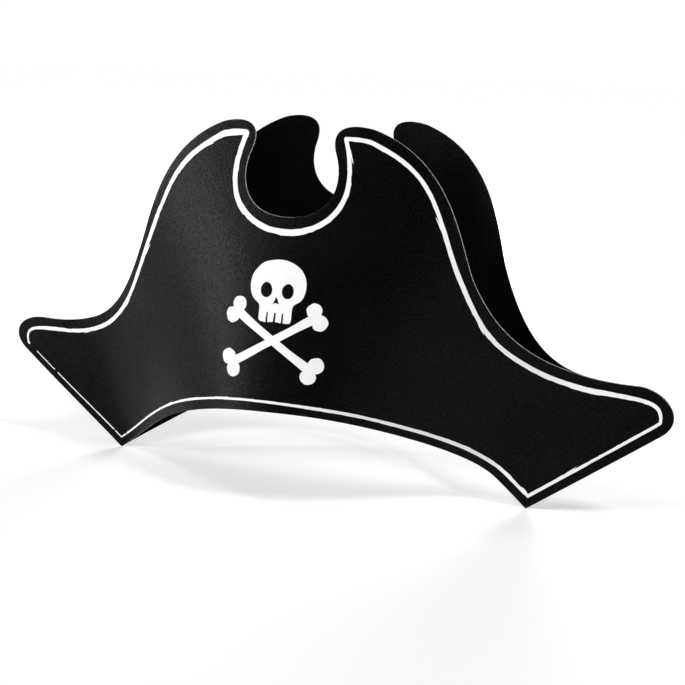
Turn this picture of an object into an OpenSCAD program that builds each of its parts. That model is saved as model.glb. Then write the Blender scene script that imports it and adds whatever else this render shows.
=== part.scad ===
// Two-horned costume hat: two bowed black cards glued along the wing edges,
// with a white border, a skull and crossed bones printed on the front card.
// The hat stands on its two bottom corners. Front faces -Y, up is +Z.

/* [Hat] */
// Distance between the two wing tips
tip_to_tip = 410; // [380:5:450]
// Height from the bottom corners to the top of the horns
hat_height = 206; // [190:2:230]

/* [Opening] */
// Distance from the glued plane to each card at the level of the bottom corners
bow_bottom = 80; // [65:1:95]
// Distance from the glued plane to the front card at the level of the horns
bow_front_top = 37; // [25:1:60]
// Distance from the glued plane to the back card at the level of the horns
bow_back_top = 50; // [25:1:60]
// Width of the bowed part at the level of the bottom corners
bowed_width_bottom = 200; // [180:2:220]
// Width of the bowed part at the level of the horns
bowed_width_top = 500; // [440:10:560]

/* [Card] */
// Thickness of each card
card_t = 0.6; // [0.4:0.1:1.2]
// Thickness of the glue between the cards
glue_t = 0.4; // [0.2:0.1:1]
// Width of each glue strip
glue_w = 12; // [8:1:16]

/* [Print] */
// Thickness of the white print
print_t = 0.1; // [0.1:0.05:0.3]
// Width of the border line at the bottom corners
border_w_low = 1.6; // [1:0.1:5]
// Width of the border line at the horns
border_w_high = 2.8; // [1:0.1:5]
// Height of the point where the bones cross
emblem_z = 92; // [80:1:105]
// Width across the ends of the bones
emblem_w = 60; // [40:1:80]
// Width of the skull
skull_w = 32; // [24:1:44]

/* [Hidden] */
card_black = [0.06, 0.06, 0.07];
glue_clear = [0.82, 0.80, 0.72];
print_white = [0.95, 0.95, 0.95];
// facets across half of the bow and up the sheet, and points along each curve
half_facets = 16;
levels = 8;
curve_points = 8;
// the sheets are shaped a little past the outline, then cut to it
z_low = -6;
z_high = hat_height + 8;
reach = 2.6;
slice_depth = 400;

// ---- outline curves, drawn for a hat 410 wide and 206 high and stretched to size
function sized(p) = [p.x * tip_to_tip / 410, p.y * hat_height / 206];

function on_curve(a, b, c, d, t) =
    pow(1 - t, 3) * a + 3 * pow(1 - t, 2) * t * b + 3 * (1 - t) * t * t * c + t * t * t * d;

// points of a curve without its last one, so that curves follow one another
function curve(a, b, c, d) = [
    for (i = [0:curve_points - 1]) sized(on_curve(a, b, c, d, i / curve_points))
];

// half outline from the middle of the arch to the middle of the notch
corner = [129, 0];
wing_low = [200, 51];
wing_top = [186, 76];
slope_end = [101, 129];
horn_top = [46, 204];
horn_side = [25, 191];

half_card = concat(
    curve([0, 55], [53, 55], [85, 36], corner),
    [sized(corner)],
    curve(wing_low, [212.7, 61], [199, 75], wing_top),
    curve(wing_top, [144, 77], [119, 88], slope_end),
    curve(slope_end, [93, 148], [87, 189], horn_top),
    curve(horn_top, [42, 206], [17, 211], horn_side),
    curve(horn_side, [31, 176], [26, 157], [0, 157]),
    [sized([0, 157])]
);

// half of the border line, along its middle
border_corner = [130, 7];
border_wing = [198, 58];
border_wing_top = [168, 70];
border_slope = [103, 110];
border_horn = [41, 199.5];
border_tip = [29, 199.5];

half_border = concat(
    curve([0, 60], [59, 60], [91, 38], border_corner),
    [sized(border_corner)],
    curve(border_wing, [198, 69], [191, 69], border_wing_top),
    curve(border_wing_top, [137, 71], [113, 89], border_slope),
    curve(border_slope, [77, 165], [86, 181], border_horn),
    [sized(border_horn)],
    curve(border_tip, [44, 160], [16, 149], [0, 149.3]),
    [sized([0, 149.3])]
);

// closes a half line with its mirror image; both ends of it are on the middle
function mirrored(half) = concat(
    half,
    [for (i = [len(half) - 2:-1:1]) [-half[i].x, half[i].y]]
);

function left_of(v) = [-v.y, v.x] / norm(v);

// a closed line moved sideways, with mitred corners
function shifted(line, side) = [
    for (i = [0:len(line) - 1])
        let (
            before = line[(i + len(line) - 1) % len(line)],
            after = line[(i + 1) % len(line)],
            n1 = left_of(line[i] - before),
            n2 = left_of(after - line[i]),
            w = border_w_low + (border_w_high - border_w_low) * line[i].y / hat_height
        )
        line[i] + side * w / 2 * (n1 + n2) / (1 + n1 * n2)
];

// ---- the bowed sheets
function bow(t) = abs(t) < 1 ? pow(1 - t * t, 2) : 0;

function bow_slope(t) = abs(t) < 1 ? -4 * t * (1 - t * t) : 0;

function between(low, high, z) = low + (high - low) * z / hat_height;

function half_width(z) = between(bowed_width_bottom, bowed_width_top, z) / 2;

function depth(side, z) = between(bow_bottom, side < 0 ? bow_front_top : bow_back_top, z);

across = concat(
    [-reach],
    [for (i = [-half_facets:half_facets]) i / half_facets],
    [reach]
);

// one line across a sheet at height z, lifted off its inner face
function sheet_line(side, z, lift) = [
    for (t = across)
        let (
            n = [-depth(side, z) * bow_slope(t), side * half_width(z)],
            y = side * (glue_t / 2 + depth(side, z) * bow(t))
        )
        [t * half_width(z) + lift * n.x / norm(n), y + lift * n.y / norm(n), z]
];

// the two triangles of one patch, with corners a b below and c d above
function patch(a, b, c, d, lean) = lean ? [[a, b, c], [b, d, c]] : [[a, b, d], [a, d, c]];

function turned(faces) = [for (f = faces) [f[2], f[1], f[0]]];

// a sheet of the bowed card between two lifts, before it is cut to its outline
module sheet(side, from, to) {
    n = len(across);
    corners = [
        for (j = [0:levels])
            let (z = z_low + (z_high - z_low) * j / levels)
                each concat(sheet_line(side, z, from), sheet_line(side, z, to))
    ];
    skins = [
        for (j = [0:levels - 1])
            for (k = [0:n - 2])
                let (
                    a = 2 * n * j + k,
                    c = a + 2 * n,
                    lean = k > half_facets
                )
                each concat(
                    patch(a, a + 1, c, c + 1, lean),
                    turned(patch(a + n, a + n + 1, c + n, c + n + 1, lean))
                )
    ];
    rims = [
        for (k = [0:n - 2])
            let (a = k, c = 2 * n * levels + k)
                each concat(
                    turned(patch(a, a + 1, a + n, a + n + 1, true)),
                    patch(c, c + 1, c + n, c + n + 1, true)
                )
    ];
    ends = [
        for (j = [0:levels - 1])
            let (a = 2 * n * j, b = a + n - 1)
                each concat(
                    turned(patch(a, a + 2 * n, a + n, a + 3 * n, true)),
                    patch(b, b + 2 * n, b + n, b + 3 * n, true)
                )
    ];
    faces = concat(skins, rims, turned(ends));
    polyhedron(points = corners, faces = side < 0 ? faces : turned(faces));
}

// cuts a shape drawn in the front view out of a sheet
module cut_from_sheet(side, from, to) {
    intersection() {
        sheet(side, from, to);
        rotate([90, 0, 0])
            linear_extrude(height = slice_depth, center = true)
                children();
    }
}

// ---- emblem, drawn around the point where the bones cross
module bone(turn) {
    knob = emblem_w * 0.072;
    rotate([0, 0, turn]) {
        square([emblem_w * 0.92, emblem_w * 0.09], center = true);
        for (end = [-1, 1])
            for (side = [-1, 1])
                translate([end * emblem_w * 0.46, side * knob * 0.85])
                    circle(r = knob);
    }
}

module skull_shape() {
    u = skull_w / 32;
    difference() {
        union() {
            translate([0, 21 * u])
                scale([1, 0.84])
                    circle(r = 16 * u);
            translate([-9 * u, 1.5 * u])
                square([18 * u, 12 * u]);
        }
        for (side = [-1, 1])
            translate([side * 6.4 * u, 18 * u])
                circle(r = 3.7 * u);
        polygon([[-1.8 * u, 10.8 * u], [1.8 * u, 10.8 * u], [0, 14.6 * u]]);
        for (gap = [-1, 0, 1])
            translate([gap * 4.6 * u - 0.5 * u, 0])
                square([1 * u, 6.4 * u]);
    }
}

// ---- sub-parts
module front_card() {
    color(card_black)
        cut_from_sheet(-1, 0, card_t)
            polygon(mirrored(half_card));
}

module back_card() {
    color(card_black)
        cut_from_sheet(1, 0, card_t)
            polygon(mirrored(half_card));
}

// glue strip just inside the oblique wing edge, in the plane where the cards meet
module glue_strip(side) {
    low = sized(corner);
    high = sized(wing_low);
    along = (high - low) / norm(high - low);
    inward = left_of(high - low);
    start = low + 16 * along + 2 * inward;
    length = norm(high - low) - 18;
    strip = [
        start,
        start + length * along,
        start + length * along + glue_w * inward,
        start + glue_w * inward
    ];
    rotate([90, 0, 0])
        linear_extrude(height = glue_t, center = true)
            polygon([for (p = strip) [side * p.x, p.y]]);
}

module left_glue() {
    color(glue_clear)
        glue_strip(-1);
}

module right_glue() {
    color(glue_clear)
        glue_strip(1);
}

module border_print() {
    line = mirrored(half_border);
    color(print_white)
        cut_from_sheet(-1, card_t, card_t + print_t)
            difference() {
                polygon(shifted(line, -1));
                polygon(shifted(line, 1));
            }
}

module skull_print() {
    color(print_white)
        cut_from_sheet(-1, card_t, card_t + print_t)
            translate([0, emblem_z + skull_w * 0.26])
                skull_shape();
}

module bones_print() {
    color(print_white)
        cut_from_sheet(-1, card_t, card_t + print_t)
            translate([0, emblem_z]) {
                bone(31);
                bone(-31);
            }
}

front_card();
back_card();
left_glue();
right_glue();
border_print();
skull_print();
bones_print();
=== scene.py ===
import math
import random

import bpy
import numpy as np
from mathutils import Matrix, Vector, geometry


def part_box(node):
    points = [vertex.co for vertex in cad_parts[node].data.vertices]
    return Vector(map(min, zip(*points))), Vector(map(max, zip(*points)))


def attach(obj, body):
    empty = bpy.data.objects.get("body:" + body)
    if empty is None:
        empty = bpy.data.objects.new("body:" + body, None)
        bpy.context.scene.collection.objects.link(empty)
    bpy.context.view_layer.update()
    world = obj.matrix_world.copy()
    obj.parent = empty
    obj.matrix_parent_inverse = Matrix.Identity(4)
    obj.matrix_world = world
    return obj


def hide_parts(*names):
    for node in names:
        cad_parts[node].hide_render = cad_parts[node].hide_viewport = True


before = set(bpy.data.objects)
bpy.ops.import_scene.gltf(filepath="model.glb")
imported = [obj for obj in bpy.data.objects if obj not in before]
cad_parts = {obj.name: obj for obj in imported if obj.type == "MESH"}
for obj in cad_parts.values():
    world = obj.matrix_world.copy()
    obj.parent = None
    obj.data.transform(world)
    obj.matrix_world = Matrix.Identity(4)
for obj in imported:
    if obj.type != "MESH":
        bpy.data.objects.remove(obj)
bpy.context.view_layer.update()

MM = 0.001

# ---------------------------------------------------------------- the hat's form
# in mm, with the same bow as in the CAD source
DRAWN_WIDTH, HEIGHT = 410.0, 206.0
low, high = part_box("front_card")
STRETCH = np.array([(high.x - low.x) / MM / DRAWN_WIDTH, (high.z - low.z) / MM / HEIGHT])
CARD_T, GLUE_T = 0.6, 0.4
PRINT_LIFT, PRINT_T = CARD_T, 0.12
BOW_BOTTOM, BOW_FRONT_TOP, BOW_BACK_TOP = 80.0, 37.0, 50.0
WIDTH_BOTTOM, WIDTH_TOP = 200.0, 500.0
LEFT_WIDTH_BOTTOM, LEFT_WIDTH_TOP = 256.0, 441.0

# Both cards together are bent out of true from TIP_START outwards. At the tips they lean back by
# TIP_LEAN of their height above LEAN_LEVEL, and the left tip curls forward by LEFT_CURL.
TIP_START, TIP_LENGTH = 125.0, 75.0
TIP_LEAN, LEAN_LEVEL, LEFT_CURL = 0.10, 35.0, 4.0

# Unevenness of each card: a chequered wave (height, then scale and shift across, scale and shift up)
# and a slanted one (height, scale across, scale up). -1 is the front card, 1 the back one.
RIPPLES = {
    -1: ((0.35, 31, 0.8, 43, 0.5), (0.25, 17, -29)),
    1: ((0.4, 27, -1.1, 37, 1.5), (0.25, 19, 33)),
}

# Each half outline runs from the middle of the arch to the middle of the notch. The hat is cut and
# painted by hand, so its halves differ a little. The left ones are listed mirrored, with x to the right.
CORNER, WING_LOW = (129, 0), (200, 51)
ARCH_TOP, NOTCH_LOW, HORN_SIDE = (0, 54.4), (0, 157), (25, 191)
RIGHT_CARD = [
    [ARCH_TOP, (54, 56.5), (86.5, 37.5), CORNER],
    [CORNER, WING_LOW],
    [WING_LOW, (212.7, 61), (199, 75), (186, 76)],
    [(186, 76), (143, 76), (118, 87.5), (100.5, 129)],
    [(100.5, 129), (93.3, 148.3), (88.5, 190), (46.2, 204.5)],
    [(46.2, 204.5), (42, 206), (17, 211), HORN_SIDE],
    [HORN_SIDE, (31, 176), (26, 157), NOTCH_LOW],
]
LEFT_CARD = [
    [ARCH_TOP, (52.4, 53.1), (84, 33.4), CORNER],
    [CORNER, (196.8, 55.2)],
    [(196.8, 55.2), (209, 64.4), (203.5, 76), (186, 76)],
    [(186, 76), (146, 73.8), (119, 88), (101.3, 129.3)],
    [(101.3, 129.3), (92.2, 147.7), (86, 188.4), (46.2, 204.5)],
    [(46.2, 204.5), (42, 206.8), (16.3, 212), HORN_SIDE],
    [HORN_SIDE, (31, 176), (26, 157), NOTCH_LOW],
]
# The back card hangs a little lower at its left arch.
LEFT_BACK_CARD = [[ARCH_TOP, (51.5, 51.5), (82.5, 31), CORNER]] + LEFT_CARD[1:]

# The white line: the middle of each stretch, then its width at the start and at the end of the stretch.
LINE_LOW, LINE_NOTCH = (0, 59.8), (0, 149.3)
RIGHT_LINE = [
    ([LINE_LOW, (60, 60.6), (92, 39.2), (129.8, 7.6)], 1.4, 2.3),
    ([(129.8, 7.6), (198.2, 57.6)], 1.8, 1.6),
    ([(198.2, 57.6), (198.8, 69), (191, 68.4), (168, 70.4)], 1.5, 2.6),
    ([(168, 70.4), (137, 71.2), (112.4, 88.4), (102.6, 109.8)], 2.8, 2.2),
    ([(102.6, 109.8), (77.6, 164.2), (84, 180.6), (46, 197.4)], 2.1, 2.5),
    ([(46, 197.4), (41.5, 199.4), (36, 199.9), (29.3, 199.6)], 2.5, 2.3),
    ([(29.3, 199.6), (43.8, 160), (16.3, 148.6), LINE_NOTCH], 2.2, 3.0),
]
LEFT_LINE = [
    ([LINE_LOW, (58.5, 59.3), (90, 35.2), (129, 6.2)], 1.4, 1.0),
    ([(129, 6.2), (195.6, 59.2)], 0.85, 0.45),
    ([(195.6, 59.2), (198.8, 69.8), (191.5, 69.8), (168, 69.5)], 1.0, 2.5),
    ([(168, 69.5), (137.5, 69.9), (115, 90.3), (104.8, 110.8)], 2.4, 2.3),
    ([(104.8, 110.8), (78, 163.2), (81.4, 178.8), (46, 197.4)], 2.6, 3.0),
    ([(46, 197.4), (41.5, 199.4), (36, 200.2), (29, 199.8)], 3.1, 3.2),
    ([(29, 199.8), (44.4, 160), (16.3, 148.6), LINE_NOTCH], 2.8, 3.1),
]


CURVE_POINTS = 40


def curve_points(control):
    """Points of a straight or cubic curve, without the last one."""
    p = np.array(control, float)
    t = np.linspace(0, 1, CURVE_POINTS, endpoint=False)[:, None]
    if len(p) == 2:
        return p[0] + (p[1] - p[0]) * t
    return (1 - t) ** 3 * p[0] + 3 * (1 - t) ** 2 * t * p[1] + 3 * (1 - t) * t**2 * p[2] + t**3 * p[3]


def half_line(curves):
    """The points of a row of curves, with the last one."""
    return np.vstack([curve_points(c) for c in curves] + [np.array([curves[-1][-1]], float)])


def closed_line(right, left):
    """Two half lines as one closed loop, counter-clockwise seen from the front."""
    right_half, left_half = half_line(right) * STRETCH, half_line(left) * STRETCH * [-1, 1]
    return np.vstack([right_half, left_half[-2:0:-1]])


def resample(line, step, closed=True):
    """The same line with its points about one step apart."""
    p = np.vstack([line, line[:1]]) if closed else line
    s = np.r_[0, np.cumsum(np.hypot(*np.diff(p, axis=0).T))]
    n = max(3, int(round(s[-1] / step)))
    at = np.linspace(0, s[-1], n, endpoint=not closed)
    return np.c_[np.interp(at, s, p[:, 0]), np.interp(at, s, p[:, 1])]


SHARP_TURN = 0.5  # radians between two edges that meet at a corner


def keep_corners(line, step):
    """Resamples a closed line but keeps its sharp corners exactly."""
    n = len(line)
    ahead = np.roll(line, -1, 0) - line
    back = line - np.roll(line, 1, 0)
    cross = ahead[:, 0] * back[:, 1] - ahead[:, 1] * back[:, 0]
    turn = np.abs(np.arctan2(cross, (ahead * back).sum(1)))
    corners = [i for i in range(n) if turn[i] > SHARP_TURN]
    if not corners:
        return resample(line, step)
    parts = []
    for a, b in zip(corners, corners[1:] + [corners[0] + n]):
        part = line[np.arange(a, b + 1) % n]
        parts.append(resample(part, step, closed=False)[:-1])
    return np.vstack(parts)


def turned(loop, degrees):
    r = math.radians(degrees)
    return loop @ np.array([[math.cos(r), math.sin(r)], [-math.sin(r), math.cos(r)]])


# ---------------------------------------------------------------- the bowed surface
def depth(side, z):
    """Distance from the glued plane to the middle of the front card (side -1) or the back one (1)."""
    top = BOW_FRONT_TOP if side < 0 else BOW_BACK_TOP
    return BOW_BOTTOM + (top - BOW_BOTTOM) * z / HEIGHT


def half_width(x, z):
    """Half width of the bowed part. The left half is bowed more upright than the right one."""
    right = (WIDTH_BOTTOM + (WIDTH_TOP - WIDTH_BOTTOM) * z / HEIGHT) / 2
    left = (LEFT_WIDTH_BOTTOM + (LEFT_WIDTH_TOP - LEFT_WIDTH_BOTTOM) * z / HEIGHT) / 2
    return np.where(x < 0, left, right)


def warp(x, z):
    """How far both cards together are bent backwards at a place in the front view, in mm."""
    tip = np.clip((np.abs(x) - TIP_START) / TIP_LENGTH, 0, 1)
    return TIP_LEAN * tip**2 * (z - LEAN_LEVEL) - np.where(x < 0, LEFT_CURL, 0.0) * tip**2


def ripple(side, x, z):
    """Slight unevenness of one card, in mm."""
    (rise, across, shift, up, lift), (slant_rise, slant_across, slant_up) = RIPPLES[side]
    chequered = rise * np.sin(x / across + shift) * np.sin(z / up + lift)
    return chequered + slant_rise * np.sin(x / slant_across + z / slant_up)


def place(side, p, lift):
    """Points of a sheet in metres, from their place in the front view and lift off the card in mm.
    The ripple dies out towards the glued edges."""
    x, z = p[:, 0], p[:, 1]
    t = x / half_width(x, z)
    inside = np.clip(1 - t * t, 0, None)
    d = depth(side, z)
    slope = d * np.where(inside > 0, 4 * t * inside, 0) / half_width(x, z)
    y = side * (GLUE_T / 2 + d * inside**2 + lift * np.sqrt(1 + slope**2) + inside * ripple(side, x, z))
    return np.c_[x, y + warp(x, z), z] * MM


# ---------------------------------------------------------------- meshes
ROW_SPACING, RIM_SPACING = 0.87, 0.55  # of the inner points, in steps of their grid
MERGE_BELOW, FLAT_BELOW = 1e-5, 1e-9  # mm between points, and mm2 for a sliver of a triangle
SHARP_EDGE = math.radians(40)


def is_inside(points, loop):
    """Which points a closed loop goes round."""
    x, y = points[:, 0:1], points[:, 1:2]
    x1, y1 = loop[:, 0][None], loop[:, 1][None]
    x2, y2 = np.roll(loop[:, 0], -1)[None], np.roll(loop[:, 1], -1)[None]
    with np.errstate(divide="ignore", invalid="ignore"):
        cross = ((y1 > y) != (y2 > y)) & (x < (x2 - x1) * (y - y1) / (y2 - y1) + x1)
    return cross.sum(1) % 2 == 1


def within(shapes, holes=()):
    """A test for points that are in one of the shapes and in none of the holes."""
    def test(points):
        inside = np.zeros(len(points), bool)
        for loop in shapes:
            inside |= is_inside(points, loop)
        for loop in holes:
            inside &= ~is_inside(points, loop)
        return inside
    return test


def fill(loops, keep, grid=None):
    """Triangles between the loops wherever the test holds: (points, triangles). With a grid, points
    that far apart are added between the loops."""
    points, edges = [], []
    for loop in loops:
        first = len(points)
        points += [Vector(p) for p in loop]
        edges += [(first + i, first + (i + 1) % len(loop)) for i in range(len(loop))]
    if grid:
        rim = np.vstack(loops)
        (x0, y0), (x1, y1) = rim.min(0), rim.max(0)
        spots = np.array([
            (x + (grid / 2 if j % 2 else 0), y)
            for j, y in enumerate(np.arange(y0, y1, grid * ROW_SPACING))
            for x in np.arange(x0, x1, grid)
        ])
        spots = spots[keep(spots)]
        far = np.array([((rim - s) ** 2).sum(1).min() for s in spots]) > (RIM_SPACING * grid) ** 2
        points += [Vector(p) for p in spots[far]]
    verts, _, faces, *_ = geometry.delaunay_2d_cdt(points, edges, [], 0, MERGE_BELOW)
    verts = np.array([tuple(v) for v in verts])
    faces = np.array(faces)
    faces = faces[keep(verts[faces].mean(1))]
    a, b, c = (verts[faces[:, i]] for i in range(3))
    turn = (b - a)[:, 0] * (c - a)[:, 1] - (b - a)[:, 1] * (c - a)[:, 0]
    faces = faces[np.abs(turn) > FLAT_BELOW]
    turn = turn[np.abs(turn) > FLAT_BELOW]
    faces[turn < 0] = faces[turn < 0][:, ::-1]
    used = np.unique(faces)
    renumber = -np.ones(len(verts), int)
    renumber[used] = np.arange(len(used))
    return verts[used], renumber[faces]


def shell(name, filled, side, inner, outer, face_material, edge_material=None):
    """A sheet between two lifts, with walls round its rim. The attribute rim is 1 along the rim."""
    verts, faces = filled
    n = len(verts)
    edges = {}
    for f in faces:
        for a, b in ((f[0], f[1]), (f[1], f[2]), (f[2], f[0])):
            edges[(int(a), int(b))] = True
    rim = [(a, b) for a, b in edges if (b, a) not in edges]
    top = [tuple(int(i) for i in f) for f in faces]
    bottom = [tuple(int(i) + n for i in reversed(f)) for f in faces]
    walls = [(b, a, a + n, b + n) for a, b in rim]
    every = top + bottom + walls
    if side > 0:
        every = [tuple(reversed(f)) for f in every]
    points = np.vstack([place(side, verts, outer), place(side, verts, inner)])
    mesh = bpy.data.meshes.new(name)
    mesh.from_pydata(points.tolist(), [], every)
    mesh.materials.append(face_material)
    mesh.materials.append(edge_material or face_material)
    mesh.polygons.foreach_set("material_index", [0] * (2 * len(faces)) + [1] * len(walls))
    mesh.polygons.foreach_set("use_smooth", [True] * len(every))
    on_rim = np.zeros(2 * n, np.float32)
    for a, b in rim:
        on_rim[[a, b, a + n, b + n]] = 1
    mesh.attributes.new("rim", "FLOAT", "POINT").data.foreach_set("value", on_rim)
    mesh.update()
    mesh.set_sharp_from_angle(angle=SHARP_EDGE)
    piece = bpy.data.objects.new(name, mesh)
    bpy.context.scene.collection.objects.link(piece)
    return piece


# ---------------------------------------------------------------- materials
def new_material(name):
    m = bpy.data.materials.new(name)
    m.use_nodes = True
    nodes, links = m.node_tree.nodes, m.node_tree.links
    return m, nodes, links, nodes["Principled BSDF"]


def add(nodes, kind, **values):
    """A new node, with its sockets and settings by name."""
    node = nodes.new(kind)
    for key, value in values.items():
        if key in node.inputs:
            node.inputs[key].default_value = value
        else:
            setattr(node, key, value)
    return node


def object_place(nodes):
    return add(nodes, "ShaderNodeTexCoord").outputs["Object"]


def noise(nodes, links, where, scale, detail, roughness=0.5):
    texture = add(nodes, "ShaderNodeTexNoise", Scale=scale, Detail=detail, Roughness=roughness)
    links.new(where, texture.inputs["Vector"])
    return texture.outputs["Fac"]


def total(nodes, links, first, second):
    node = add(nodes, "ShaderNodeMath", operation="ADD")
    links.new(first, node.inputs[0])
    links.new(second, node.inputs[1])
    return node.outputs[0]


def ramp(nodes, links, source, low_at, low_value, high_at, high_value):
    """A value mapped from one range to another."""
    node = add(nodes, "ShaderNodeMapRange")
    links.new(source, node.inputs["Value"])
    node.inputs["From Min"].default_value = low_at
    node.inputs["From Max"].default_value = high_at
    node.inputs["To Min"].default_value = low_value
    node.inputs["To Max"].default_value = high_value
    return node.outputs["Result"]


def blend(nodes, links, share, first, second):
    """A colour between two others. The first may come from another node, the second is (r, g, b)."""
    node = add(nodes, "ShaderNodeMix", data_type="RGBA")
    if isinstance(first, tuple):
        node.inputs["A"].default_value = (*first, 1)
    else:
        links.new(first, node.inputs["A"])
    node.inputs["B"].default_value = (*second, 1)
    links.new(share, node.inputs["Factor"])
    return node.outputs["Result"]


def bump(nodes, links, shader, height, strength, distance):
    """Raises a shader's surface by a height, at most by a distance in metres."""
    node = add(nodes, "ShaderNodeBump", Strength=strength, Distance=distance)
    links.new(height, node.inputs["Height"])
    links.new(node.outputs["Normal"], shader.inputs["Normal"])


def grain(nodes, links, where, fine):
    """The mottled, leather-like grain of the card, mostly 0.7 to 1.1."""
    pebbles = add(
        nodes, "ShaderNodeTexVoronoi", Scale=fine, Randomness=1.0, feature="SMOOTH_F1", Smoothness=0.6,
    )
    links.new(where, pebbles.inputs["Vector"])
    flecks = noise(nodes, links, where, scale=fine * 1.6, detail=4.0, roughness=0.6)
    return total(nodes, links, pebbles.outputs["Distance"], flecks)


def card_material():
    m, nodes, links, shader = new_material("black_card")
    where = object_place(nodes)
    mottle = grain(nodes, links, where, fine=950.0)
    bump(nodes, links, shader, mottle, strength=0.55, distance=0.0002)
    cloud = noise(nodes, links, where, scale=22.0, detail=5.0, roughness=0.55)
    cloudy = ramp(nodes, links, cloud, 0.35, 0.0, 0.65, 1.0)
    black = blend(nodes, links, cloudy, (0.0008, 0.0008, 0.0009), (0.0020, 0.0020, 0.0021))
    # scuffed card along the cut edge
    rim = add(nodes, "ShaderNodeAttribute", attribute_name="rim").outputs["Fac"]
    rub = ramp(nodes, links, noise(nodes, links, where, scale=260.0, detail=3.0), 0.3, -0.25, 0.7, 0.1)
    scuffed = ramp(nodes, links, total(nodes, links, rim, rub), 0.8, 0.0, 1.05, 0.8)
    worn = blend(nodes, links, scuffed, black, (0.035, 0.035, 0.036))
    links.new(worn, shader.inputs["Base Color"])
    patchy = ramp(nodes, links, cloud, 0.3, 0.25, 0.7, 0.30)
    gritty = ramp(nodes, links, mottle, 0.5, -0.04, 1.3, 0.06)
    links.new(total(nodes, links, patchy, gritty), shader.inputs["Roughness"])
    sheen = ramp(nodes, links, mottle, 0.7, 0.035, 1.1, 0.085)
    links.new(sheen, shader.inputs["Specular IOR Level"])
    return m


def core_material():
    """The grey fibres in the cut edge of the card."""
    m, nodes, links, shader = new_material("card_core")
    fibres = noise(nodes, links, object_place(nodes), scale=900.0, detail=3.0)
    pale = ramp(nodes, links, fibres, 0.35, 0.0, 0.62, 1.0)
    grey = blend(nodes, links, pale, (0.55, 0.55, 0.55), (0.92, 0.92, 0.91))
    links.new(grey, shader.inputs["Base Color"])
    bump(nodes, links, shader, fibres, strength=0.5, distance=0.0001)
    shader.inputs["Roughness"].default_value = 0.85
    shader.inputs["Specular IOR Level"].default_value = 0.25
    return m


def print_material():
    """White paint, with the grain of the card just showing."""
    m, nodes, links, shader = new_material("white_print")
    mottle = grain(nodes, links, object_place(nodes), fine=900.0)
    bump(nodes, links, shader, mottle, strength=0.1, distance=0.0001)
    clean = ramp(nodes, links, mottle, 0.6, 0.0, 1.1, 1.0)
    white = blend(nodes, links, clean, (0.90, 0.90, 0.90), (0.95, 0.95, 0.945))
    links.new(white, shader.inputs["Base Color"])
    shader.inputs["Roughness"].default_value = 0.55
    shader.inputs["Specular IOR Level"].default_value = 0.3
    return m


def glue_material():
    m, nodes, links, shader = new_material("dried_glue")
    streaks = noise(nodes, links, object_place(nodes), scale=120.0, detail=3.0)
    amber = blend(nodes, links, streaks, (0.10, 0.09, 0.07), (0.22, 0.20, 0.16))
    links.new(amber, shader.inputs["Base Color"])
    bump(nodes, links, shader, streaks, strength=0.4, distance=0.0002)
    shader.inputs["Roughness"].default_value = 0.35
    return m


CARD, CORE, PRINT, GLUE = card_material(), core_material(), print_material(), glue_material()

# ---------------------------------------------------------------- cards
RIM_STEP, CARD_GRID = 1.6, 4.0


def card_sheet(name, side, left_half):
    line = keep_corners(closed_line(RIGHT_CARD, left_half), RIM_STEP)
    return shell(name, fill([line], within([line]), grid=CARD_GRID), side, 0.0, CARD_T, CARD, CORE)


front = card_sheet("front_card_sheet", -1, LEFT_CARD)
back = card_sheet("back_card_sheet", 1, LEFT_BACK_CARD)

# ---------------------------------------------------------------- glue strips
# The strip starts GLUE_START along the oblique edge and is GLUE_SHORTER shorter than it. It lies
# from GLUE_NEAR to GLUE_FAR inside the edge, give or take the wander of its two sides.
GLUE_START, GLUE_SHORTER, GLUE_NEAR, GLUE_FAR = 16, 18, 2, 13.6
NEAR_WANDER, FAR_WANDER, GLUE_STEPS = 0.25, 0.4, 32
GLUE_SEEDS = {-1: 5, 1: 6}


def glue_strip(side):
    """The strip along the left (side -1) or right (1) oblique edge, as points and triangles."""
    start, end = (np.array(p, float) * STRETCH for p in (RIGHT_CARD if side > 0 else LEFT_CARD)[1])
    along = (end - start) / np.linalg.norm(end - start)
    inward = np.array([-along[1], along[0]])
    length = np.linalg.norm(end - start) - GLUE_SHORTER
    wander = random.Random(GLUE_SEEDS[side])
    near, far = [], []
    for i in range(GLUE_STEPS + 1):
        s = GLUE_START + length * i / GLUE_STEPS
        near.append(start + s * along + (GLUE_NEAR + wander.uniform(-NEAR_WANDER, NEAR_WANDER)) * inward)
        far.append(start + s * along + (GLUE_FAR + wander.uniform(-FAR_WANDER, FAR_WANDER)) * inward)
    loop = np.array(near + far[::-1]) * [side, 1]
    loop = loop if side > 0 else loop[::-1]
    return fill([loop], within([loop]))


left_glue = shell("left_glue_strip", glue_strip(-1), 1, -GLUE_T, 0.0, GLUE)
right_glue = shell("right_glue_strip", glue_strip(1), 1, -GLUE_T, 0.0, GLUE)


# ---------------------------------------------------------------- white border
def noise_line(n, seed, knots, amount):
    """n values of a smooth closed random line, through that many random heights."""
    draw = random.Random(seed)
    at = np.array([draw.uniform(-1, 1) for _ in range(knots)])
    pos = np.arange(n) * knots / n
    i = np.floor(pos).astype(int)
    f = pos - i
    f = f * f * (3 - 2 * f)
    return amount * (at[i % knots] * (1 - f) + at[(i + 1) % knots] * f)


SHORTEST_RUN, LONGEST_RUN = 0.4, 1.6  # of a stroke, in mean runs


def stroke_line(n, seed, mean_run, amount):
    """n values that stay nearly level for one stroke of the brush and then jump to the next."""
    draw = random.Random(seed)
    values = []
    while len(values) < n:
        level, drift = draw.uniform(-amount, amount), draw.uniform(-amount, amount) / 2
        run = int(mean_run * draw.uniform(SHORTEST_RUN, LONGEST_RUN)) + 1
        values += [level + drift * i / run for i in range(run)]
    return np.array(values[:n])


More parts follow.
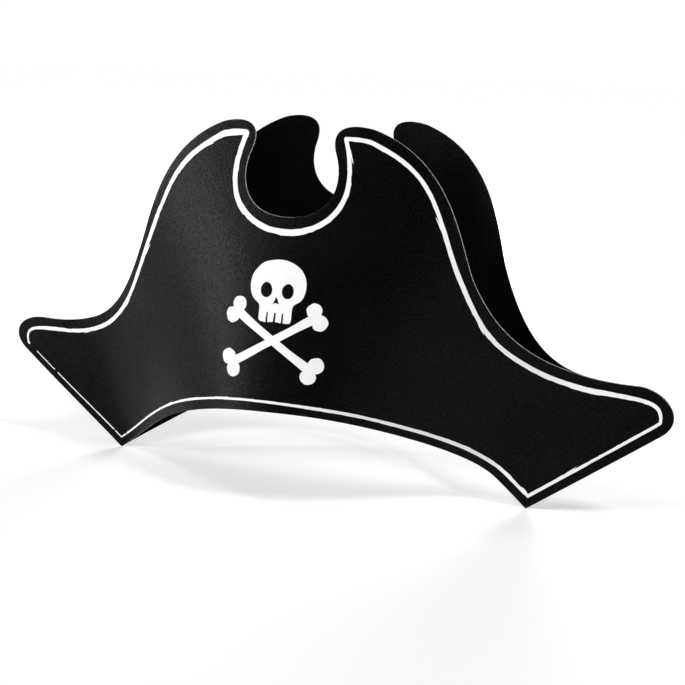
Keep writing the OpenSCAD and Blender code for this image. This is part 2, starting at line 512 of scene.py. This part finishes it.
def normals(line):
    """Left-hand normals of the edges before and after each point of a closed line."""
    ahead = np.roll(line, -1, 0) - line
    back = line - np.roll(line, 1, 0)
    ahead /= np.linalg.norm(ahead, axis=1)[:, None]
    back /= np.linalg.norm(back, axis=1)[:, None]
    return np.c_[-back[:, 1], back[:, 0]], np.c_[-ahead[:, 1], ahead[:, 0]]


NEARLY_STRAIGHT, ROUND_STEPS = 0.85, 7


def moved(line, distance, round_above=None):
    """A closed line moved to its left, mitred at its corners, or rounded at those above a height."""
    n1, n2 = normals(line)
    mitre = (n1 + n2) / (1 + (n1 * n2).sum(1))[:, None]
    out = []
    for p, a, b, m, d in zip(line, n1, n2, mitre, distance):
        if round_above is None or p[1] < round_above or (a * b).sum() > NEARLY_STRAIGHT:
            out.append(p + d * m)
            continue
        for f in np.linspace(0, 1, ROUND_STEPS):
            way = a * (1 - f) + b * f
            out.append(p + d * way / np.linalg.norm(way))
    return np.array(out)


def line_widths(points, right, left):
    """Width of the white line at each point, from the nearest place on its stretches."""
    places, widths = [], []
    for half, side in ((right, 1), (left, -1)):
        for control, start, end in half:
            places.append(curve_points(control) * STRETCH * [side, 1])
            widths.append(np.linspace(start, end, len(places[-1])))
    places, widths = np.vstack(places), np.concatenate(widths)
    return np.array([widths[((places - p) ** 2).sum(1).argmin()] for p in points])


def nearest(line, x, z):
    """The number of the point of a line nearest to a place."""
    return int(((line - np.array([x, z]) * STRETCH) ** 2).sum(1).argmin())


LINE_STEP = 0.75
ROUND_ABOVE = 50  # the brush rounds the corners of the line above this height
# a sliver starts at this share of the line's half width, leaves it by this power of its length,
# and swells from blunt at this rate
SLIVER_START, SLIVER_BEND, SLIVER_BLUNT, SLIVER_SWELL = 0.8, 1.5, 0.3, 3
GAP_WIDTH, GAP_STEP, GAP_RUN, GAP_ROUGH = 4.0, 0.6, 2, 0.22


def sliver(x, z, length, splay, width):
    """A pointed stroke that starts inside the line near (x, z) and splays off its inner edge. It runs
    on along the line, or back along it if the length is negative."""
    n = max(4, int(abs(length) / LINE_STEP))
    at = (nearest(middle, x, z) + np.arange(n) * (1 if length > 0 else -1)) % count
    t = np.linspace(0, 1, n)
    before, after = normals(middle)
    inward = ((before + after) / 2)[at]
    run = middle[at] + inward * (half_wide[at] * SLIVER_START + t**SLIVER_BEND * splay)[:, None]
    swell = width / 2 * np.sqrt(np.clip(1 - t, 0, 1)) * np.minimum(1, SLIVER_BLUNT + SLIVER_SWELL * t)
    one, two = run + inward * swell[:, None], run - inward * swell[:, None]
    return np.vstack([one, two[-2:0:-1]])


def gap(x, z, degrees, length):
    """A place across the line where the brush left the card."""
    across, along = GAP_WIDTH / 2, length / 2
    box = resample(
        np.array([(-along, -across), (along, -across), (along, across), (-along, across)]), GAP_STEP,
    )
    shake = stroke_line(len(box), int(abs(x) * 10), GAP_RUN, GAP_ROUGH)
    ragged = box + np.c_[shake, np.zeros(len(box))]
    return (turned(ragged, degrees) + [x, z]) * STRETCH


middle = keep_corners(closed_line([c for c, *_ in RIGHT_LINE], [c for c, *_ in LEFT_LINE]), LINE_STEP)
count = len(middle)
half_wide = line_widths(middle, RIGHT_LINE, LEFT_LINE) / 2
sway = noise_line(count, seed=11, knots=70, amount=0.12)
inner_strokes = stroke_line(count, seed=13, mean_run=22, amount=0.20)
inner_rough = noise_line(count, seed=14, knots=520, amount=0.10)
outer_strokes = stroke_line(count, seed=15, mean_run=40, amount=0.12)
outer_rough = noise_line(count, seed=16, knots=420, amount=0.06)
inner_edge = moved(middle, half_wide * (1 - sway + inner_strokes + inner_rough))
outer_edge = moved(middle, -half_wide * (1 + sway + outer_strokes + outer_rough), ROUND_ABOVE)
# x, z, length, splay, width
slivers = [
    sliver(30.5, 195, 10, 1.1, 1.0),
    sliver(33, 176, 7, 0.7, 0.9),
    sliver(85, 155, 9, 0.7, 0.9),
    sliver(104, 106, -8, 0.8, 0.9),
    sliver(-56, 192, -8, 0.9, 1.0),
    sliver(-96, 126, -9, 0.8, 0.9),
    sliver(-110, 97, 8, 0.7, 0.9),
    sliver(-150, 72, 7, 0.6, 0.8),
    sliver(150, 22, 9, 0.6, 0.7),
    sliver(92, 35, 8, 0.6, 0.7),
    sliver(-75, 43, 7, 0.5, 0.6),
]
# x, z, slant of the line in degrees anticlockwise, length along the line
gaps = [
    gap(-134.2, 9.6, -38, 1.1),
    gap(-176.0, 42.0, -38, 2.6),
    gap(-193.0, 55.0, -38, 7.0),
    gap(-125.4, 9.4, 39, 0.7),
    gap(-70.6, 46.6, 33, 0.5),
]
strokes = within([outer_edge], [inner_edge])
extra = within(slivers)
missing = within(gaps)
border = shell(
    "border_brushwork",
    fill([outer_edge, inner_edge] + slivers + gaps, lambda p: (strokes(p) | extra(p)) & ~missing(p)),
    -1, PRINT_LIFT, PRINT_LIFT + PRINT_T, PRINT,
)


# ---------------------------------------------------------------- emblem
EMBLEM_Z, EMBLEM_W = 92.0, 60.0
EMBLEM_GRID = 2.5


def wobble(loop, seed, amount, knots):
    """A closed loop as an unsteady hand would draw it."""
    n = len(loop)
    return loop + np.c_[noise_line(n, seed, knots, amount), noise_line(n, seed + 50, knots, amount)]


def oval(x, z, a, b, n=48):
    t = np.linspace(0, 2 * math.pi, n, endpoint=False)
    return np.c_[x + a * np.cos(t), z + b * np.sin(t)]


def emblem(name, loops, keep):
    """White print on the front card, from loops drawn round the point where the bones cross."""
    filled = fill(loops, keep, grid=EMBLEM_GRID)
    return shell(name, filled, -1, PRINT_LIFT, PRINT_LIFT + PRINT_T, PRINT)


def lifted(loops):
    return [loop + [0, EMBLEM_Z] for loop in loops]


# right half of the skull, from the middle of the jaw to the middle of the crown
HALF_SKULL = [
    [(0, 9.7), (8, 9.7)],
    [(8, 9.7), (9.2, 9.7), (9.4, 10.6), (9.4, 12)],
    [(9.4, 12), (9.4, 16), (8.8, 18.2), (11, 19.6)],
    [(11, 19.6), (14.6, 21.6), (16, 25), (16, 29.2)],
    [(16, 29.2), (16, 37.5), (9.5, 42.8), (0, 42.8)],
]
NOSE = [(-1.7, 19.2), (0, 19.9), (1.7, 19.2), (0.9, 21.4), (0, 23), (-0.9, 21.4)]
TOOTH_GAP = [(-0.55, 8), (0.55, 8), (0.5, 14.2), (0.25, 14.9), (-0.25, 14.9), (-0.5, 14.2)]
TOOTH_GAPS_AT = (-4.5, 0, 4.5)
SOCKET_X, SOCKET_Z, SOCKET_A, SOCKET_B = 6.3, 26.4, 3.4, 4.0

skull_half = half_line(HALF_SKULL)
skull_line = resample(np.vstack([skull_half, skull_half[-2:0:-1] * [-1, 1]]), step=0.7)
sockets = [oval(side * SOCKET_X, SOCKET_Z, SOCKET_A, SOCKET_B) for side in (-1, 1)]
nose = resample(np.array(NOSE, float), step=0.4)
tooth_gaps = [
    resample(np.array([(x + dx, z) for dx, z in TOOTH_GAP], float), step=0.5)
    for x in TOOTH_GAPS_AT
]
skull_holes = [
    wobble(hole, seed=30 + i, amount=0.18, knots=9)
    for i, hole in enumerate(sockets + [nose] + tooth_gaps)
]
skull_loops = lifted([wobble(skull_line, seed=20, amount=0.3, knots=22)] + skull_holes)
skull = emblem("skull_emblem", skull_loops, within(skull_loops[:1], skull_loops[1:]))

SHAFT_HALF = 0.46  # half a shaft, in widths of the emblem
# the shaft, narrowest in its middle: place along it in halves of its length, half its width there
SHAFT = [(-1, 2.6), (-0.5, 2.2), (0, 2.1), (0.5, 2.2), (1, 2.6)]
KNOB_OUT, KNOB_ASIDE, KNOB_A, KNOB_B, KNOB_POINTS = 0.1, 3.6, 4.3, 4.1, 40


def bone(angle, seed):
    """The shaft and the four knobs of a bone, as loops."""
    half = EMBLEM_W * SHAFT_HALF
    lower = [(s * half, -w) for s, w in SHAFT]
    upper = [(s * half, w) for s, w in SHAFT[::-1]]
    loops = [resample(np.array(lower + upper, float), step=0.8)]
    for end, side in ((-1, -1), (-1, 1), (1, -1), (1, 1)):
        loops.append(oval(end * (half + KNOB_OUT), side * KNOB_ASIDE, KNOB_A, KNOB_B, KNOB_POINTS))
    drawn = [wobble(loop, seed + i, amount=0.25, knots=11) for i, loop in enumerate(loops)]
    return [turned(loop, angle) for loop in drawn]


BONE_TURN = 31
bone_loops = lifted(bone(BONE_TURN, 60) + bone(-BONE_TURN, 80))
bones = emblem("crossed_bones_emblem", bone_loops, within(bone_loops))

# ---------------------------------------------------------------- pieces, all on the hat's one body
for piece, node, slot in (
    (front, "front_card", "card"),
    (back, "back_card", "card"),
    (left_glue, "left_glue", "glue"),
    (right_glue, "right_glue", "glue"),
    (border, "border_print", "print"),
    (skull, "skull_print", "print"),
    (bones, "bones_print", "print"),
):
    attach(piece, "root")
    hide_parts(node)

# ---------------------------------------------------------------- floor
FLOOR_RADIUS, FLOOR_SIDES = 14.0, 96
# painted light: the floor glows by itself though it is no lamp. The glow grows from GLOW_NEAR to
# GLOW_FAR between two distances from the hat, so that it goes over into the white backdrop; near the hat
# it also lightens the shade under the hat and brightens the floor seen in the black card
GLOW_FROM, GLOW_NEAR, GLOW_TO, GLOW_FAR = 0.40, 0.35, 1.3, 1.0


def floor():
    mesh = bpy.data.meshes.new("floor")
    turns = np.linspace(0, 2 * math.pi, FLOOR_SIDES, endpoint=False)
    ring = [(FLOOR_RADIUS * math.cos(a), FLOOR_RADIUS * math.sin(a), 0.0) for a in turns]
    mesh.from_pydata(ring, [], [tuple(range(FLOOR_SIDES))])
    m, nodes, links, shader = new_material("floor_white_and_painted_glow")
    shader.inputs["Base Color"].default_value = (0.93, 0.93, 0.93, 1)
    shader.inputs["Roughness"].default_value = 0.8
    shader.inputs["Specular IOR Level"].default_value = 0.1
    far = add(nodes, "ShaderNodeVectorMath", operation="LENGTH")
    links.new(object_place(nodes), far.inputs[0])
    # painted light: the white floor glows, weakly near the hat and fully far from it
    shader.inputs["Emission Color"].default_value = (1, 1, 1, 1)
    painted_floor_glow = ramp(nodes, links, far.outputs["Value"], GLOW_FROM, GLOW_NEAR, GLOW_TO, GLOW_FAR)
    links.new(painted_floor_glow, shader.inputs["Emission Strength"])
    mesh.materials.append(m)
    plane = bpy.data.objects.new("floor", mesh)
    bpy.context.scene.collection.objects.link(plane)


floor()


# ---------------------------------------------------------------- light
BOX_SIZE, BOX_DISTANCE, BOX_TARGET_Z = (0.34, 0.42), 1.6, 0.1


def softbox(name, azimuth, elevation, radiance):
    """A rectangular light round the hat, out of the camera's sight. The azimuth is 0 straight in
    front of the hat and grows towards the viewer's left; both angles are in degrees."""
    light = bpy.data.lights.new(name, "AREA")
    light.shape = "RECTANGLE"
    light.size, light.size_y = BOX_SIZE
    light.energy = radiance * math.pi * BOX_SIZE[0] * BOX_SIZE[1]
    thing = bpy.data.objects.new(name, light)
    bpy.context.scene.collection.objects.link(thing)
    a, e = math.radians(azimuth), math.radians(elevation)
    thing.location = Vector((
        -BOX_DISTANCE * math.sin(a) * math.cos(e),
        -BOX_DISTANCE * math.cos(a) * math.cos(e),
        BOX_TARGET_Z + BOX_DISTANCE * math.sin(e),
    ))
    facing = Vector((0, 0, BOX_TARGET_Z)) - thing.location
    thing.rotation_euler = facing.to_track_quat("-Z", "Y").to_euler()
    thing.visible_camera = False


# name, azimuth, elevation, radiance
BOXES = [
    ("left_low_box", 55, 8, 26.0),
    ("left_mid_box", 35, 28, 8.0),
    ("left_high_box", 85, 50, 9.0),
    ("top_box", 20, 50, 2.5),
    ("front_box", 0, 28, 1.6),
    ("right_high_box", -70, 50, 22.0),
    ("back_box", 180, 8, 53.0),
    ("left_back_box", 130, 8, 7.5),
]
for box in BOXES:
    softbox(*box)


def backdrop(seen, given):
    """A white world of one strength for the camera, and another for all that it lights."""
    world = bpy.data.worlds.new("studio")
    bpy.context.scene.world = world
    world.use_nodes = True
    nodes, links = world.node_tree.nodes, world.node_tree.links
    white = nodes["Background"]
    dim = nodes.new("ShaderNodeBackground")
    for background, strength in ((white, seen), (dim, given)):
        background.inputs["Color"].default_value = (1, 1, 1, 1)
        background.inputs["Strength"].default_value = strength
    path = nodes.new("ShaderNodeLightPath")
    mix = nodes.new("ShaderNodeMixShader")
    links.new(path.outputs["Is Camera Ray"], mix.inputs["Fac"])
    links.new(dim.outputs[0], mix.inputs[1])
    links.new(white.outputs[0], mix.inputs[2])
    links.new(mix.outputs[0], nodes["World Output"].inputs["Surface"])


backdrop(seen=1.1, given=0.0)

scene = bpy.context.scene
scene.view_settings.view_transform = "Standard"
scene.view_settings.look = "None"

# ---------------------------------------------------------------- camera
# azimuth from straight in front towards the viewer's right
AZIMUTH, ELEVATION, ROLL = math.radians(21.798), math.radians(11.739), math.radians(1.948)
DISTANCE, TARGET = 0.861256, Vector((-0.006075, 0.055377, 0.069318))
FOCAL_PX, IMAGE_PX, SENSOR_MM = 1398.24, 685, 36.0
CLIP_START, CLIP_END = 0.02, 60


def camera():
    data = bpy.data.cameras.new("camera")
    data.sensor_fit = "HORIZONTAL"
    data.sensor_width = SENSOR_MM
    data.lens = SENSOR_MM * FOCAL_PX / IMAGE_PX
    data.clip_start, data.clip_end = CLIP_START, CLIP_END
    thing = bpy.data.objects.new("camera", data)
    bpy.context.scene.collection.objects.link(thing)
    out = Vector((
        math.sin(AZIMUTH) * math.cos(ELEVATION),
        -math.cos(AZIMUTH) * math.cos(ELEVATION),
        math.sin(ELEVATION),
    ))
    right = (-out).cross(Vector((0, 0, 1))).normalized()
    up = right.cross(-out)
    across = right * math.cos(ROLL) + up * math.sin(ROLL)
    upward = up * math.cos(ROLL) - right * math.sin(ROLL)
    turn = Matrix((across, upward, out)).transposed()
    thing.matrix_world = Matrix.Translation(TARGET + out * DISTANCE) @ turn.to_4x4()
    bpy.context.scene.camera = thing


camera()
